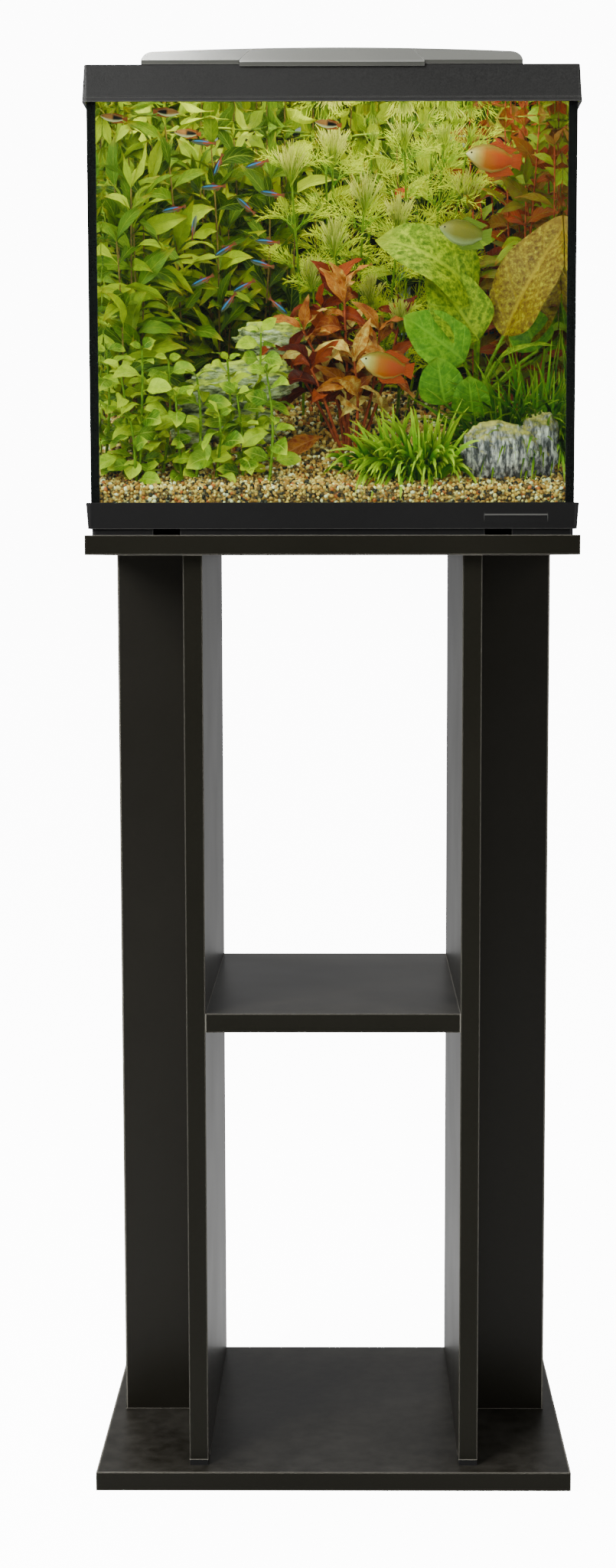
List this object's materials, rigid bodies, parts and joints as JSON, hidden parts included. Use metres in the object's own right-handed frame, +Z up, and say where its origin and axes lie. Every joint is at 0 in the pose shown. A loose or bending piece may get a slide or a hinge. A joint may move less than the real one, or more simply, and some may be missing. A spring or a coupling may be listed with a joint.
{
  "type": "aquarium on stand",
  "caption": "Small planted glass tank with lift-off hood, feeding flap, filter and heater, on an open black board stand with one shelf.",
  "frame": {"origin": "middle of the stand's footprint, on the floor", "axes": "+Z up; -Y is the front, with the feeding flap's lip and the badge recess; +X to the right seen from the front"},
  "size_m": [0.4, 0.3, 1.1855],
  "materials": {
    "black_board": "satin black melamine",
    "edge_band": "satin black edge band",
    "black_rubber": "matt",
    "steel": "zinc plated",
    "zinc": "die cast",
    "dowel_wood": "plain beech",
    "tank_glass": "clear float glass",
    "black_silicone": "semi gloss",
    "trim_plastic": "satin black",
    "dark_film": "matt black",
    "hood_plastic": "fine grained charcoal",
    "silver_plastic": "satin silver",
    "lamp_plastic": "white",
    "circuit_board": "white solder mask",
    "led": "phosphor",
    "lens_plastic": "clear",
    "pump_plastic": "satin black",
    "rotor_plastic": "smooth",
    "dial_plastic": "smooth",
    "sponge": "open cell foam",
    "ceramic": "plain",
    "heater_glass": "clear",
    "gravel": "mixed pebbles",
    "mossy_stone": "rough, partly mossed",
    "slate": "layered",
    "green_leaf": "waxy leaf",
    "bright_leaf": "waxy leaf",
    "pale_leaf": "soft feathery leaf",
    "red_leaf": "waxy leaf",
    "mottled_leaf": "broad mottled leaf",
    "grass": "narrow blades",
    "water": "clear water",
    "fish": "living fish"
  },
  "bodies": {
    "root": {"base_board": "black_board", "top_board": "black_board", "base_edging": "edge_band", "top_edging": "edge_band", "left_fin": "black_board", "right_fin": "black_board", "left_wing": "black_board", "right_wing": "black_board", "shelf": "black_board", "fin_edging": "edge_band", "wing_edging": "edge_band", "shelf_edging": "edge_band", "fin_shoes": "black_rubber", "stand_screws": "steel", "stand_dowels": "dowel_wood", "shelf_bolts": "steel", "shelf_cams": "zinc", "front_pane": "tank_glass", "back_pane": "tank_glass", "left_pane": "tank_glass", "right_pane": "tank_glass", "floor_pane": "tank_glass", "silicone_seams": "black_silicone", "bottom_trim": "trim_plastic", "background_film": "dark_film", "filter_body": "pump_plastic", "filter_sponge": "sponge", "filter_plate": "pump_plastic", "filter_head": "pump_plastic", "filter_shaft": "ceramic", "filter_cups": "black_rubber", "heater_tube": "heater_glass", "heater_element": "ceramic", "heater_cap": "pump_plastic", "heater_holder": "black_rubber", "gravel_bed": "gravel", "moss_stones": "mossy_stone", "slate_stones": "slate", "left_stem_plants": "green_leaf", "round_leaf_plants": "bright_leaf", "feathery_plants": "pale_leaf", "red_plant": "red_leaf", "right_red_plants": "red_leaf", "sword_plant": "mottled_leaf", "front_grass": "grass", "right_grass": "grass"},
    "hood": {"hood_shell": "hood_plastic", "canopy": "silver_plastic", "flap_pin": "steel", "light_housing": "lamp_plastic", "light_circuit": "circuit_board", "light_leds": "led", "light_lens": "lens_plastic", "light_screws": "steel"},
    "flap": {"feeding_flap": "silver_plastic"},
    "rotor": {"filter_rotor": "rotor_plastic"},
    "spout": {"filter_spout": "pump_plastic"},
    "flow_dial": {"filter_dial": "dial_plastic"},
    "heater_dial": {"heater_dial": "dial_plastic"}
  },
  "joints": [
    {"name": "hood_lift", "type": "slide", "parent": "root", "child": "hood", "axis": [0, 0, 1], "range_m": [0, 0.15]},
    {"name": "flap_hinge", "type": "hinge", "parent": "hood", "child": "flap", "pos_m": [0, -0.0243, 1.1805], "axis": [-1, 0, 0], "range_deg": [0, 95]},
    {"name": "rotor_spin", "type": "hinge", "parent": "root", "child": "rotor", "pos_m": [0.15204, 0.109, 1.045], "axis": [0, 0, 1], "continuous": true},
    {"name": "spout_swivel", "type": "hinge", "parent": "root", "child": "spout", "pos_m": [0.15204, 0.095, 1.085], "axis": [0, 0, 1], "range_deg": [-90, 90]},
    {"name": "flow_dial_turn", "type": "hinge", "parent": "root", "child": "flow_dial", "pos_m": [0.15204, 0.124, 1.085], "axis": [0, 0, 1], "range_deg": [0, 270]},
    {"name": "heater_dial_turn", "type": "hinge", "parent": "root", "child": "heater_dial", "pos_m": [0.06207, 0.1205, 1.1], "axis": [0, 0, 1], "range_deg": [0, 300]}
  ]
}
